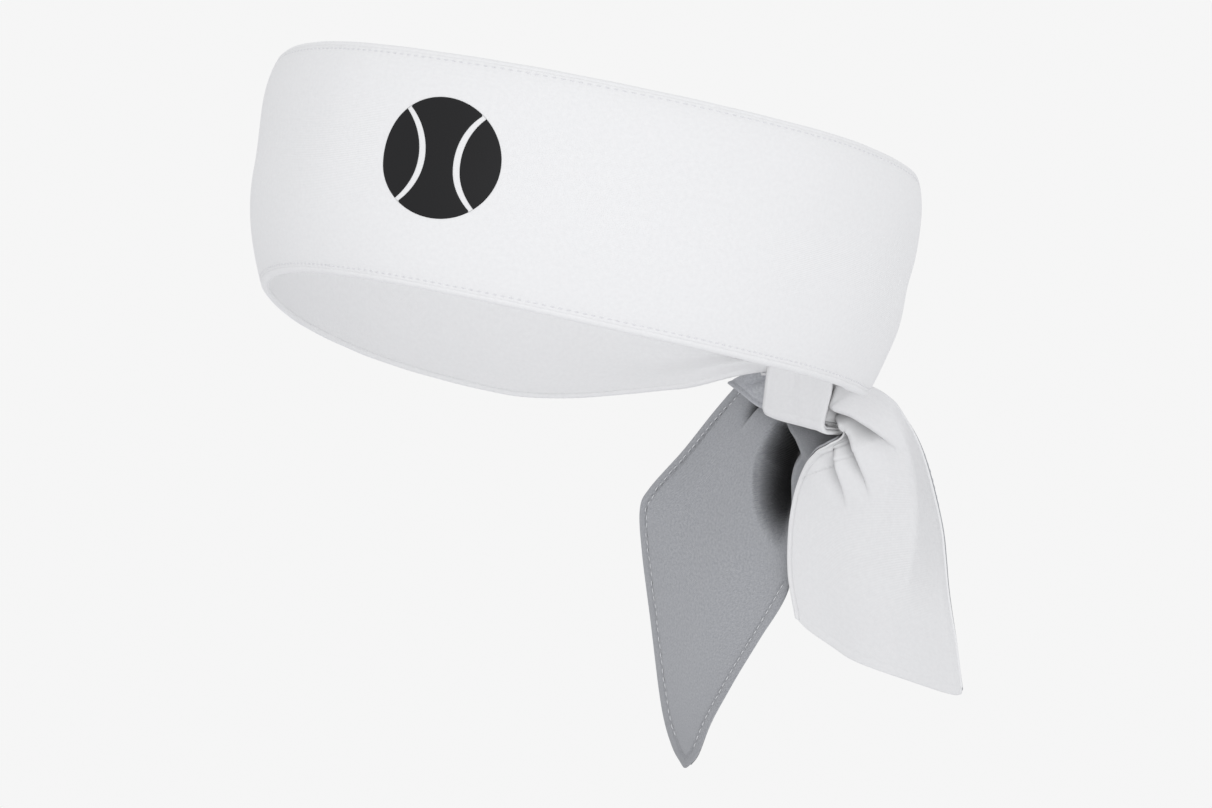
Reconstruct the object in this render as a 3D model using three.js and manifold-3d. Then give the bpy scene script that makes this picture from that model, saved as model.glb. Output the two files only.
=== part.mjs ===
// A tied sports headband: a double-layer stretch band that runs round the head, is gathered
// behind it into a flat square knot, and hangs down from the knot as two double-layer tails.
//
// Millimetres, +Z toward the crown, -Y toward the forehead, +X toward the wearer's left ear.
// The origin is the centre of the head opening.
import * as THREE from 'three';
import { mergeVertices } from 'three/addons/utils/BufferGeometryUtils.js';
import Module from 'manifold-3d';

const wasm = await Module();
wasm.setup();

// ---- Driving dimensions ------------------------------------------------------------------

// Outline of the band round the head: two half ellipses that meet at the ears.
const HALF_WIDTH = 81.6;
const FRONT_DEPTH = 95;
const BACK_DEPTH = 92.5;
const FRONT_POWER = 1.88;   // below 2 the forehead end is slightly pointed
const BACK_POWER = 1.97;

// The band itself.
const BAND_HEIGHT = 59;
const BAND_PITCH = 10.8;    // degrees, worn high on the forehead
const BAND_ROLL = 2.7;      // degrees, lower over the left ear
const TOP_SWELL = 5;        // outward belly above the middle ...
const TOP_TUCK = 6;         // ... and the pull back in at the top edge
const BOTTOM_TUCK = 7;      // pull in at the bottom edge
const TOP_WAVE = 1.3;       // rise and fall of the edges round the head
const BOTTOM_WAVE = 2.5;
const SWAY_FRONT = -1;      // rise and fall of the whole band round the head
const SWAY_SIDE = -2.15;

// The gathered stretch that leads into the knot, measured along the band from its back.
const NECK_LENGTH = 86;
const NECK_SHARE = 0.3;     // height left at the knot before the last pinch
const PINCH_START = 5;
const PINCH_LENGTH = 30;
const PINCH_SHARE = 0.6;
const NECK_DROP = 9;
const BACK_ARC_RADIUS = 83;
const RIGHT_END = -173;     // degrees from the forehead where the band meets the knot
const LEFT_END = 166;

// Fabric, seams and thread.
const LAYER = 0.8;
const GAP = 0.3;
const ROLL_WIDTH = 2.2;     // rolled lip outside each edge's stitching
const THREAD_WIDTH = 0.5;
const THREAD_HEIGHT = 0.4;
const TAIL_LAYER = 0.7;
const HEM_INSET = 2.3;      // stitching of the tails, in from the cut edge

// Round print on the left of the forehead.
const MARK_ANGLE = 23.5;    // degrees from the forehead
const MARK_RISE = 0.11;     // share of the half height above the middle
const MARK_RADIUS = 15;
const MARK_THICKNESS = 0.2;
const MARK_ARC_RADIUS = 84; // radius of the band where the print is

// Knot: an inner half knot against the head and an outer one stacked on it.
const KNOT = new THREE.Vector3(3.4, 90.7, -33.4);
const INNER_TURN = { width: 22, depth: 16.4, height: 26.8, radius: 6, wall: 2.2 };
const OUTER_TURN = { width: 15, depth: 10.5, height: 20, radius: 4.5, wall: 2 };
const OUTER_TURN_SHIFT = -5; // toward the right tail
const OUTER_TURN_TILT = 14; // degrees
const CORE_OVERHANG = 0.9;  // how far a core stands out of its turn

// Planes of the hanging pieces, and the level at which a tail hinges below its root.
const FLAP_PLANE = 91;
const RIGHT_TAIL_PLANE = 98;
const LEFT_TAIL_PLANE = 94;
const TAIL_HINGE_LEVEL = -62;
const TAIL_HINGE_GAP = 1.6;

// Mesh fineness.
const AROUND = 73;          // odd, so that one facet is centred on the forehead
const ACROSS = 4;

const WHITE = { color: 0xf2f2f4, roughness: 0.75, metalness: 0 };
const GREY = { color: 0x9b9da3, roughness: 0.7, metalness: 0 };
const BLACK = { color: 0x161618, roughness: 0.55, metalness: 0 };
const WHITE_THREAD = { color: 0xe4e4e8, roughness: 0.6, metalness: 0 };
const GREY_THREAD = { color: 0xb4b6ba, roughness: 0.6, metalness: 0 };

// ---- The band's surface ------------------------------------------------------------------

const radians = THREE.MathUtils.degToRad;

function bandOpening(angle) {
  const fromKnot = (Math.PI - Math.abs(angle)) * BACK_ARC_RADIUS;
  return {
    neck: THREE.MathUtils.smoothstep(fromKnot, 0, NECK_LENGTH),
    pinch: THREE.MathUtils.smoothstep(fromKnot, PINCH_START, PINCH_START + PINCH_LENGTH),
  };
}

function bandHeight(angle) {
  const { neck, pinch } = bandOpening(angle);
  const neckShare = NECK_SHARE + (1 - NECK_SHARE) * neck;
  const pinchShare = PINCH_SHARE + (1 - PINCH_SHARE) * pinch;
  return BAND_HEIGHT * neckShare * pinchShare;
}

// The rise, at any angle, of a line that runs a number of millimetres inside an edge.
const belowTop = (distance) => (angle) => 1 - (2 * distance) / bandHeight(angle);
const aboveBottom = (distance) => (angle) => (2 * distance) / bandHeight(angle) - 1;

// Point of the band: angle in radians from the forehead toward the left ear, rise from -1 at
// the bottom edge to 1 at the top edge, and height above the outer face.
function bandPoint(angle, rise, above) {
  const cos = Math.cos(angle);
  const sin = Math.sin(angle);
  const depth = cos > 0 ? FRONT_DEPTH : BACK_DEPTH;
  const power = 2 / (cos > 0 ? FRONT_POWER : BACK_POWER);
  const height = bandHeight(angle);
  const { neck } = bandOpening(angle);
  const swell = rise > 0 ? TOP_SWELL * rise ** 2 - TOP_TUCK * rise ** 4 : -BOTTOM_TUCK * rise ** 2;
  const out = swell * (height / BAND_HEIGHT) + above;
  const wave = (rise > 0 ? TOP_WAVE : BOTTOM_WAVE) * Math.cos(2 * angle) * Math.abs(rise);
  const sway = SWAY_FRONT * Math.cos(2 * angle) + SWAY_SIDE * Math.sin(2 * angle);
  return new THREE.Vector3(
    HALF_WIDTH * Math.sign(sin) * Math.abs(sin) ** power + sin * out,
    -depth * Math.sign(cos) * Math.abs(cos) ** power - cos * out,
    (rise * height) / 2 + (wave + sway) * neck - NECK_DROP * (1 - neck),
  );
}

// ---- Geometry helpers --------------------------------------------------------------------

// Moves every vertex of a geometry to the place that a function gives for it.
function reshape(geometry, place) {
  const position = geometry.attributes.position;
  const vertex = new THREE.Vector3();
  for (let i = 0; i < position.count; i += 1) {
    vertex.fromBufferAttribute(position, i);
    const moved = place(vertex);
    position.setXYZ(i, moved.x, moved.y, moved.z);
  }
  geometry.computeVertexNormals();
  return geometry;
}

// A strip along the band. Its low and high edges are lines inside the band's own edges, and its
// faces are given by their height above the band's outer face.
function bandStrip(lowEdge, highEdge, innerFace, outerFace, across) {
  const box = new THREE.BoxGeometry(1, 1, 1, AROUND, across, 1);
  return reshape(box, (vertex) => {
    const angle = radians(THREE.MathUtils.lerp(RIGHT_END, LEFT_END, vertex.x + 0.5));
    const rise = THREE.MathUtils.lerp(lowEdge(angle), highEdge(angle), vertex.y + 0.5);
    return bandPoint(angle, rise, THREE.MathUtils.lerp(innerFace, outerFace, vertex.z + 0.5));
  });
}

function roundedRectangle(width, height, radius) {
  const x = width / 2 - radius;
  const y = height / 2 - radius;
  const shape = new THREE.Shape();
  shape.absarc(x, y, radius, 0, Math.PI / 2);
  shape.absarc(-x, y, radius, Math.PI / 2, Math.PI);
  shape.absarc(-x, -y, radius, Math.PI, 1.5 * Math.PI);
  shape.absarc(x, -y, radius, 1.5 * Math.PI, 2 * Math.PI);
  return shape;
}

// Extrudes a shape drawn in Y and Z along X, centred on the origin.
function extrudeAlongX(shape, length) {
  const options = { depth: length, bevelEnabled: false, curveSegments: 5 };
  const geometry = new THREE.ExtrudeGeometry(shape, options);
  geometry.translate(0, 0, -length / 2);
  const axes = new THREE.Matrix4().makeBasis(
    new THREE.Vector3(0, 1, 0), new THREE.Vector3(0, 0, 1), new THREE.Vector3(1, 0, 0),
  );
  return geometry.applyMatrix4(axes);
}

// A flat layer of fabric drawn in X and Z, with its inward (-Y) face in the given plane.
function fabricPlate(shape, inwardPlane, thickness) {
  const options = { depth: thickness, bevelEnabled: false, curveSegments: 8 };
  const geometry = new THREE.ExtrudeGeometry(shape, options);
  return geometry.rotateX(Math.PI / 2).translate(0, inwardPlane + thickness, 0);
}

function toSolid(geometry) {
  const bare = geometry.clone();
  bare.deleteAttribute('normal');
  bare.deleteAttribute('uv');
  const merged = mergeVertices(bare);
  return new wasm.Manifold(new wasm.Mesh({
    numProp: 3,
    vertProperties: merged.attributes.position.array,
    triVerts: new Uint32Array(merged.index.array),
  }));
}

function fromSolid(solid) {
  const mesh = solid.getMesh();
  const geometry = new THREE.BufferGeometry();
  geometry.setAttribute('position', new THREE.BufferAttribute(mesh.vertProperties, 3));
  geometry.setIndex(new THREE.BufferAttribute(mesh.triVerts, 1));
  geometry.computeVertexNormals();
  return geometry;
}

// The part of a geometry that lies between two levels.
function cutBetween(geometry, low, high) {
  const reach = 400;
  const slab = new THREE.BoxGeometry(reach, reach, high - low).translate(0, 0, (low + high) / 2);
  return fromSolid(toSolid(geometry).intersect(toSolid(slab)));
}

function addPiece(parent, name, geometry, finish) {
  const mesh = new THREE.Mesh(geometry, new THREE.MeshStandardMaterial(finish));
  mesh.name = name;
  parent.add(mesh);
  return mesh;
}

// ---- Band --------------------------------------------------------------------------------

function addBand(parent) {
  const band = new THREE.Group();
  band.rotation.set(-radians(BAND_PITCH), radians(BAND_ROLL), 0, 'YXZ');
  parent.add(band);

  const panelLow = aboveBottom(ROLL_WIDTH + GAP);
  const panelHigh = belowTop(ROLL_WIDTH + GAP);
  const liningFace = -LAYER - GAP;
  const liningBack = liningFace - LAYER;
  addPiece(band, 'band_face', bandStrip(panelLow, panelHigh, -LAYER, 0, ACROSS), WHITE);
  addPiece(band, 'band_lining', bandStrip(panelLow, panelHigh, liningBack, liningFace, ACROSS), WHITE);

  const topRoll = bandStrip(belowTop(ROLL_WIDTH), belowTop(0), liningBack, 0, 1);
  const bottomRoll = bandStrip(aboveBottom(0), aboveBottom(ROLL_WIDTH), liningBack, 0, 1);
  addPiece(band, 'top_edge_roll', topRoll, WHITE);
  addPiece(band, 'bottom_edge_roll', bottomRoll, WHITE);

  const near = ROLL_WIDTH + 2 * GAP;
  const far = near + THREAD_WIDTH;
  const threadTop = GAP + THREAD_HEIGHT;
  const topThread = bandStrip(belowTop(far), belowTop(near), GAP, threadTop, 1);
  const bottomThread = bandStrip(aboveBottom(near), aboveBottom(far), GAP, threadTop, 1);
  addPiece(band, 'top_edge_stitching', topThread, WHITE_THREAD);
  addPiece(band, 'bottom_edge_stitching', bottomThread, WHITE_THREAD);

  addPiece(band, 'printed_mark', markDisc(), BLACK);
}

// A thin round print that follows the band. Rings inside it keep it on the curved face.
function markDisc() {
  const rings = 3;
  const profile = [];
  for (let i = 0; i <= rings; i += 1) profile.push(new THREE.Vector2((MARK_RADIUS * i) / rings, GAP));
  for (let i = rings; i >= 0; i -= 1) {
    profile.push(new THREE.Vector2((MARK_RADIUS * i) / rings, GAP + MARK_THICKNESS));
  }
  const halfHeight = BAND_HEIGHT / 2;
  return reshape(new THREE.LatheGeometry(profile, 24), (vertex) => {
    const angle = radians(MARK_ANGLE) + vertex.x / MARK_ARC_RADIUS;
    return bandPoint(angle, MARK_RISE - vertex.z / halfHeight, vertex.y);
  });
}

// ---- Knot --------------------------------------------------------------------------------

// One half knot: a strap turned round a core of bundled fabric.
function addHalfKnot(parent, name, turn, middle, tilt) {
  const halfKnot = new THREE.Group();
  halfKnot.position.copy(middle);
  halfKnot.rotation.y = radians(tilt);
  parent.add(halfKnot);

  const holeDepth = turn.depth - 2 * turn.wall;
  const holeHeight = turn.height - 2 * turn.wall;
  const holeRadius = turn.radius - turn.wall;
  const strap = roundedRectangle(turn.depth, turn.height, turn.radius);
  strap.holes.push(roundedRectangle(holeDepth, holeHeight, holeRadius));
  addPiece(halfKnot, `${name}_wrap`, extrudeAlongX(strap, turn.width), WHITE);

  const core = roundedRectangle(holeDepth - 2 * GAP, holeHeight - 2 * GAP, holeRadius);
  addPiece(halfKnot, `${name}_core`, extrudeAlongX(core, turn.width + 2 * CORE_OVERHANG), WHITE);
}

// The corner of grey fabric that is folded out between the right neck and the right tail.
function addFoldedCorner(parent) {
  const corner = new THREE.Shape();
  corner.moveTo(-28, -33.2);
  corner.lineTo(-16.4, -40.5);
  corner.lineTo(-8.8, -44.5);
  corner.lineTo(-8.8, -29.4);
  corner.lineTo(-18.1, -29.6);
  corner.closePath();
  const thickness = 2 * TAIL_LAYER + GAP;
  addPiece(parent, 'knot_folded_corner', fabricPlate(corner, FLAP_PLANE - thickness / 2, thickness), GREY);
}

function addKnot(parent) {
  addHalfKnot(parent, 'inner_knot', INNER_TURN, KNOT, 0);
  const stacked = KNOT.clone();
  stacked.x += OUTER_TURN_SHIFT;
  stacked.y += (INNER_TURN.depth + OUTER_TURN.depth) / 2 + GAP;
  addHalfKnot(parent, 'outer_knot', OUTER_TURN, stacked, OUTER_TURN_TILT);
  addFoldedCorner(parent);
}

// ---- Tails -------------------------------------------------------------------------------

// Each outline starts beside the knot and runs down the tail's outer side first, so that the
// stitching can follow it from the hinge round the end and back.
function rightTailOutline() {
  const outline = new THREE.Shape();
  outline.moveTo(-32.3, -34.6);
  outline.lineTo(-64.5, -62.4);
  outline.quadraticCurveTo(-67.9, -65.5, -68, -69);
  outline.bezierCurveTo(-67, -90, -62.5, -118, -55.5, -135.5);
  outline.quadraticCurveTo(-50.5, -145.5, -45, -137);
  outline.bezierCurveTo(-37, -121, -28, -112, -13.2, -92);
  outline.bezierCurveTo(-12.2, -85, -14.5, -66, -2, -50);
  outline.lineTo(-11, -50);
  outline.closePath();
  return outline;
}

function leftTailOutline() {
  const outline = new THREE.Shape();
  outline.moveTo(22.5, -37);
  outline.bezierCurveTo(33, -41, 42, -58, 45.2, -74.3);
  outline.bezierCurveTo(48, -90, 49, -101, 51.2, -115);
  outline.quadraticCurveTo(51.5, -119.5, 48, -118.5);
  outline.bezierCurveTo(30, -115, 8, -108, -7.5, -98.4);
  outline.bezierCurveTo(-9.5, -80, -10, -66, 5.3, -50);
  outline.lineTo(15.5, -50);
  outline.closePath();
  return outline;
}

// Stitching a little inside a tail's edge, along the part of it that is below a level.
function hemStitching(outline, top, plane) {
  const edge = outline.getPoints(8).filter((point) => point.y < top);
  const turns = THREE.ShapeUtils.isClockWise(edge) ? 1 : -1;
  const inset = edge.map((point, i) => {
    const ahead = edge[Math.min(i + 1, edge.length - 1)];
    const behind = edge[Math.max(i - 1, 0)];
    const along = ahead.clone().sub(behind).normalize();
    const shift = turns * HEM_INSET;
    return new THREE.Vector3(point.x + along.y * shift, plane, point.y - along.x * shift);
  });
  const path = new THREE.CatmullRomCurve3(inset, false, 'centripetal');
  const section = new THREE.Shape().absarc(0, 0, THREAD_HEIGHT / 2, 0, 2 * Math.PI);
  return new THREE.ExtrudeGeometry(section, { extrudePath: path, steps: 50, curveSegments: 4 });
}

// A tail is two layers of fabric. Each layer is a root, held by the knot, and an end, which
// hinges below it. The inward layer is toward the head. The stitching shows on the facing.
function addTail(parent, side, outline, plane, inward, outward) {
  const inwardPlane = plane - TAIL_LAYER - GAP / 2;
  const outwardPlane = plane + GAP / 2;
  const rootBottom = TAIL_HINGE_LEVEL + TAIL_HINGE_GAP / 2;
  const endTop = TAIL_HINGE_LEVEL - TAIL_HINGE_GAP / 2;
  const below = -200;
  for (const [layer, start] of [[inward, inwardPlane], [outward, outwardPlane]]) {
    const plate = fabricPlate(outline, start, TAIL_LAYER);
    addPiece(parent, `${side}_tail_root_${layer.name}`, cutBetween(plate, rootBottom, 0), layer.finish);
    addPiece(parent, `${side}_tail_end_${layer.name}`, cutBetween(plate, below, endTop), layer.finish);
  }
  const clearance = GAP + THREAD_HEIGHT / 2;
  const inwardThread = inwardPlane - clearance;
  const outwardThread = outwardPlane + TAIL_LAYER + clearance;
  const threadPlane = inward.name === 'facing' ? inwardThread : outwardThread;
  const thread = hemStitching(outline, endTop - 1, threadPlane);
  addPiece(parent, `${side}_tail_stitching`, thread, GREY_THREAD);
}

function addTails(parent) {
  const face = { name: 'face', finish: WHITE };
  const facing = { name: 'facing', finish: GREY };
  addTail(parent, 'right', rightTailOutline(), RIGHT_TAIL_PLANE, facing, face);
  addTail(parent, 'left', leftTailOutline(), LEFT_TAIL_PLANE, face, facing);
}

// ---- Assembly ----------------------------------------------------------------------------

const headband = new THREE.Group();
addBand(headband);
addKnot(headband);
addTails(headband);

export default headband;
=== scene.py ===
"""Visual model of a tied sports headband: woven cloth, rolled edges, stitching, knot and tails.

Lengths are millimetres in the CAD frame (+Z crown, -Y forehead, +X left ear), unless a comment
says metres; make_mesh turns them into metres. Left and right of a line are as seen from the front.
"""

import math

import bpy
import numpy as np
from mathutils import Matrix, Vector


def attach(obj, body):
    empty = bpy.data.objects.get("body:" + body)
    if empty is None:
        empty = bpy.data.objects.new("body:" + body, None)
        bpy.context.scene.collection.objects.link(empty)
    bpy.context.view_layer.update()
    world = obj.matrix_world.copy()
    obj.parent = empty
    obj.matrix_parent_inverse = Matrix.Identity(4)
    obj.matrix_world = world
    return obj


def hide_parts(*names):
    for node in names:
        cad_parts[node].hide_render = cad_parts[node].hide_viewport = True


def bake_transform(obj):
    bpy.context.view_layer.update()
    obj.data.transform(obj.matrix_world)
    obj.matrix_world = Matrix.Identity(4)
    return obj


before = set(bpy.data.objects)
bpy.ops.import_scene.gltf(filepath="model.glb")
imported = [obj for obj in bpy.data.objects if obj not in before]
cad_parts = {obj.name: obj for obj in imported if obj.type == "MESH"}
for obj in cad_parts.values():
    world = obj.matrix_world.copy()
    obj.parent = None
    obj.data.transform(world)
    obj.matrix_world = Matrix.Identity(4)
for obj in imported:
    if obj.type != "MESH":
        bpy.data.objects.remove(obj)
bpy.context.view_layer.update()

MM = 0.001

# ---- The band's driving dimensions, as in the CAD part --------------------------------------

HALF_WIDTH = 81.6
FRONT_DEPTH, BACK_DEPTH = 95.0, 92.5
FRONT_POWER, BACK_POWER = 1.88, 1.97
BAND_HEIGHT = 59.0
BAND_PITCH, BAND_ROLL = 10.8, 2.7          # degrees
TOP_SWELL, TOP_TUCK, BOTTOM_TUCK = 5.0, 6.0, 7.0
TOP_WAVE, BOTTOM_WAVE = 1.3, 2.5
SWAY_FRONT, SWAY_SIDE = -1.0, -2.15
NECK_LENGTH, NECK_SHARE, NECK_DROP = 86.0, 0.3, 9.0
PINCH_START, PINCH_LENGTH, PINCH_SHARE = 5.0, 30.0, 0.6
BACK_ARC_RADIUS = 83.0
RIGHT_END, LEFT_END = -176.5, 171.5        # degrees from the forehead, inside the knot
LAYER, GAP = 0.8, 0.3                      # each layer of the band, and the gap between them

# ---- Cloth details -------------------------------------------------------------------------

LIP_WIDTH = 1.7                            # rolled lip outside each edge's stitching
LIP_THICKNESS = 1.95
SEAM_INSET = 2.1                           # stitching of the band, in from its edge
SEAM_DIP, SEAM_DIP_WIDTH = 0.12, 0.55
STITCH_PITCH, STITCH_LENGTH = 2.0, 1.45
STITCH_WIDTH = 0.34
STITCH_LIFT = 0.06                         # middle of the thread, above the cloth
PUCKER, PUCKER_WIDTH = 0.07, 1.6
UNDULATION = 0.28
CLOTH_WAVES = [                            # height, spacing along the band, slant, phase
    (0.5, 11.0, 1.9, 0.4), (0.4, 6.3, -2.6, 2.1), (0.5, 23.0, 3.1, 4.0),
]
PLEATS, PLEAT_DEPTH = 3, 2.4               # gathers of each neck at the knot
LEFT_PLEAT_PHASE, RIGHT_PLEAT_PHASE = 0.6, 2.2
LAYER_UNDER_LIP = 0.5                      # how far each layer reaches under a lip
TAIL_LAYER = 0.6
TAIL_GAP = 0.12
HEM_INSET = 2.3
HEM_STITCH_PITCH = 2.3
HEM_STITCH_SHARE, HEM_STITCH_WIDTH = 0.7, 0.42
PEEK = {"left": 0.3, "right": 0.0}         # how far a tail's back layer shows at its first edge
TUCK = 0.8                                 # how far the back layer stays in at the other edges
PEEK_FADE, TUCK_FADE = 0.03, 0.02          # shares of the tail over which these fade out
FOLD_SHARPNESS = 0.9                       # half width of a fold's steep side

MARK_ANGLE, MARK_RISE = 23.5, 0.11         # centre of the print
MARK_RADIUS, MARK_ARC_RADIUS = 15.0, 84.0
MARK_HEIGHT, MARK_SINK = 0.09, 0.05

KNOT = np.array([3.4, 90.7, -33.4])
INNER_TURN = {"width": 22.0, "depth": 16.4, "height": 26.8, "radius": 3.2}
OUTER_TURN = {"width": 15.0, "depth": 10.5, "height": 20.0, "radius": 4.5}
OUTER_SHIFT = -5.0                         # toward the right tail
OUTER_TILT = 14.0                          # degrees
STRAP_LAYERS = 3
STRAP_LAYER = 0.6
FOLD_PITCH = 1.12                          # spacing of folded layers, in their thicknesses
STRAND_FORWARD, STRAND_RISE = 2.6, 4.0     # where the strand beside the inner strap lies


# ---- Materials -----------------------------------------------------------------------------

PLAIN_WHITE = (0.86, 0.86, 0.87)
WHITE_DYE = (0.847, 0.847, 0.855), (0.877, 0.877, 0.884)
GREY_DYE = (0.355, 0.365, 0.390), (0.465, 0.473, 0.495)
ONE_BAND_PER_UNIT = 0.314                  # scale of a wave texture
BUMP_DEPTH = 0.0001                        # metres


def new_material(name, color, roughness, sheen=0.0):
    material = bpy.data.materials.new(name)
    material.use_nodes = True
    shader = material.node_tree.nodes["Principled BSDF"]
    shader.inputs["Base Color"].default_value = (*color, 1)
    shader.inputs["Roughness"].default_value = roughness
    shader.inputs["Sheen Weight"].default_value = sheen
    shader.inputs["Sheen Roughness"].default_value = 0.5
    shader.inputs["Specular IOR Level"].default_value = 0.25
    return material, material.node_tree, shader


def texture_space(tree, scale):
    """Cloth coordinates: each mesh's UV map holds millimetres along and across the cloth."""
    coordinates = tree.nodes.new("ShaderNodeTexCoord")
    mapping = tree.nodes.new("ShaderNodeMapping")
    mapping.inputs["Scale"].default_value = (scale, scale, scale)
    tree.links.new(coordinates.outputs["UV"], mapping.inputs["Vector"])
    return mapping.outputs["Vector"]


def weave_height(tree, threads_per_mm):
    """Warp and weft: two sets of fine ridges at right angles."""
    place = texture_space(tree, threads_per_mm)
    total = None
    for direction in ("X", "Y"):
        wave = tree.nodes.new("ShaderNodeTexWave")
        wave.wave_type = "BANDS"
        wave.bands_direction = direction
        wave.inputs["Scale"].default_value = ONE_BAND_PER_UNIT
        wave.inputs["Distortion"].default_value = 0.6
        wave.inputs["Detail"].default_value = 1
        tree.links.new(place, wave.inputs["Vector"])
        if total is None:
            total = wave.outputs["Fac"]
            continue
        joined = tree.nodes.new("ShaderNodeMath")
        joined.operation = "MULTIPLY"
        tree.links.new(total, joined.inputs[0])
        tree.links.new(wave.outputs["Fac"], joined.inputs[1])
        total = joined.outputs["Value"]
    return total


def add_weave_bump(tree, shader, threads_per_mm, strength):
    bump = tree.nodes.new("ShaderNodeBump")
    bump.inputs["Strength"].default_value = strength
    bump.inputs["Distance"].default_value = BUMP_DEPTH
    tree.links.new(weave_height(tree, threads_per_mm), bump.inputs["Height"])
    tree.links.new(bump.outputs["Normal"], shader.inputs["Normal"])


def add_painted_crease_shade(tree, shader, reach, closed, open_share, darkest_painted_shade):
    """Painted shade: the colour darkens where other cloth closes in, within reach, as an ambient
    occlusion node finds it; full colour where open_share of the sky is free.
    """
    color = shader.inputs["Base Color"].links[0].from_socket
    gap = tree.nodes.new("ShaderNodeAmbientOcclusion")
    gap.samples = 8
    gap.inputs["Distance"].default_value = reach * MM
    share = tree.nodes.new("ShaderNodeMapRange")
    share.inputs["From Min"].default_value = closed
    share.inputs["From Max"].default_value = open_share
    share.inputs["To Min"].default_value = darkest_painted_shade
    share.inputs["To Max"].default_value = 1
    scaled = tree.nodes.new("ShaderNodeVectorMath")
    scaled.operation = "SCALE"
    tree.links.new(gap.outputs["AO"], share.inputs["Value"])
    tree.links.new(color, scaled.inputs[0])
    tree.links.new(share.outputs["Result"], scaled.inputs["Scale"])
    tree.links.new(scaled.outputs["Vector"], shader.inputs["Base Color"])


def add_heather(tree, shader, dark, light, grain_per_mm):
    """Uneven dye: fine grain and broad clouds between two colours."""
    ramp = tree.nodes.new("ShaderNodeValToRGB")
    ramp.color_ramp.elements[0].position = 0.3
    ramp.color_ramp.elements[1].position = 0.7
    ramp.color_ramp.elements[0].color = (*dark, 1)
    ramp.color_ramp.elements[1].color = (*light, 1)
    grain = tree.nodes.new("ShaderNodeTexNoise")
    grain.inputs["Scale"].default_value = 1
    grain.inputs["Detail"].default_value = 3
    tree.links.new(texture_space(tree, grain_per_mm), grain.inputs["Vector"])
    tree.links.new(grain.outputs["Fac"], ramp.inputs["Fac"])
    tree.links.new(ramp.outputs["Color"], shader.inputs["Base Color"])


def white_cloth(name, reach, darkest_painted_shade, dye_scale_and_painted_light=1.0):
    """Matt white cloth with painted shade: its colour darkens between folds that are closer than its
    reach.
    """
    material, tree, shader = new_material(name, PLAIN_WHITE, roughness=0.85, sheen=0.15)
    # A dye scale below 1 makes a darker copy of the same white: painted shade.
    dark, light = np.array(WHITE_DYE) * dye_scale_and_painted_light
    add_heather(tree, shader, dark, light, grain_per_mm=0.9)
    add_painted_crease_shade(tree, shader, reach, closed=0.1, open_share=0.85, darkest_painted_shade=darkest_painted_shade)
    add_weave_bump(tree, shader, threads_per_mm=3.0, strength=0.35)
    return material


def grey_cloth(name, dye_scale_and_painted_light, closed, open_share, darkest_painted_shade):
    """Grey cloth with a soft sheen, on the strip's reverse, with painted shade in its creases."""
    material, tree, shader = new_material(name, (0.33, 0.34, 0.36), roughness=0.6, sheen=0.3)
    # A dye scale above 1 makes a lighter copy of the same grey: painted light.
    dark, light = np.array(GREY_DYE) * dye_scale_and_painted_light
    add_heather(tree, shader, dark, light, grain_per_mm=1.6)
    add_painted_crease_shade(tree, shader, 12.0, closed, open_share, darkest_painted_shade)
    add_weave_bump(tree, shader, threads_per_mm=2.6, strength=0.8)
    return material


def thread_material(name, color):
    material, tree, shader = new_material(name, color, roughness=0.55, sheen=0.2)
    twist = tree.nodes.new("ShaderNodeTexWave")
    twist.bands_direction = "DIAGONAL"
    twist.inputs["Scale"].default_value = 1
    bump = tree.nodes.new("ShaderNodeBump")
    bump.inputs["Strength"].default_value = 0.5
    bump.inputs["Distance"].default_value = BUMP_DEPTH
    tree.links.new(texture_space(tree, 1.0), twist.inputs["Vector"])
    tree.links.new(twist.outputs["Fac"], bump.inputs["Height"])
    tree.links.new(bump.outputs["Normal"], shader.inputs["Normal"])
    return material


def print_ink():
    material, tree, shader = new_material("black_print", (0.010, 0.010, 0.011), roughness=0.5)
    add_weave_bump(tree, shader, threads_per_mm=3.0, strength=0.15)
    return material


# Band and knot white, with faint painted shade in the narrowest creases.
WHITE = white_cloth("white_weave", reach=1.2, darkest_painted_shade=0.8)
# The tails' white: a darker painted-shade copy of the same cloth, with strong painted shade in its folds.
TAIL_WHITE_PAINTED_SHADE = white_cloth("white_tail_weave_painted_shade", reach=10.0, darkest_painted_shade=0.35, dye_scale_and_painted_light=0.97)
# Grey with deep painted shade, near black, in the hollow under the knot and in other folds.
GREY = grey_cloth("grey_weave", dye_scale_and_painted_light=0.98, closed=0.42, open_share=0.95, darkest_painted_shade=0.02)
# The folded corner's grey: a lighter painted-light copy of the same grey, with only faint painted shade.
CORNER_GREY_PAINTED_LIGHT = grey_cloth("grey_corner_weave_painted_light", dye_scale_and_painted_light=1.25, closed=0.0, open_share=0.4, darkest_painted_shade=0.9)
WHITE_THREAD = thread_material("white_thread", (0.80, 0.80, 0.82))
GREY_THREAD = thread_material("grey_thread", (0.66, 0.67, 0.69))
INK = print_ink()

# ---- Mesh building -------------------------------------------------------------------------


def signed_volume(points, faces):
    """Six times the volume that outward faces enclose: negative when they point inward."""
    triangles = np.array([(f[0], b, c) for f in faces for b, c in zip(f[1:], f[2:])])
    a, b, c = points[triangles].transpose(1, 0, 2)
    return np.sum(a * np.cross(b, c))


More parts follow.
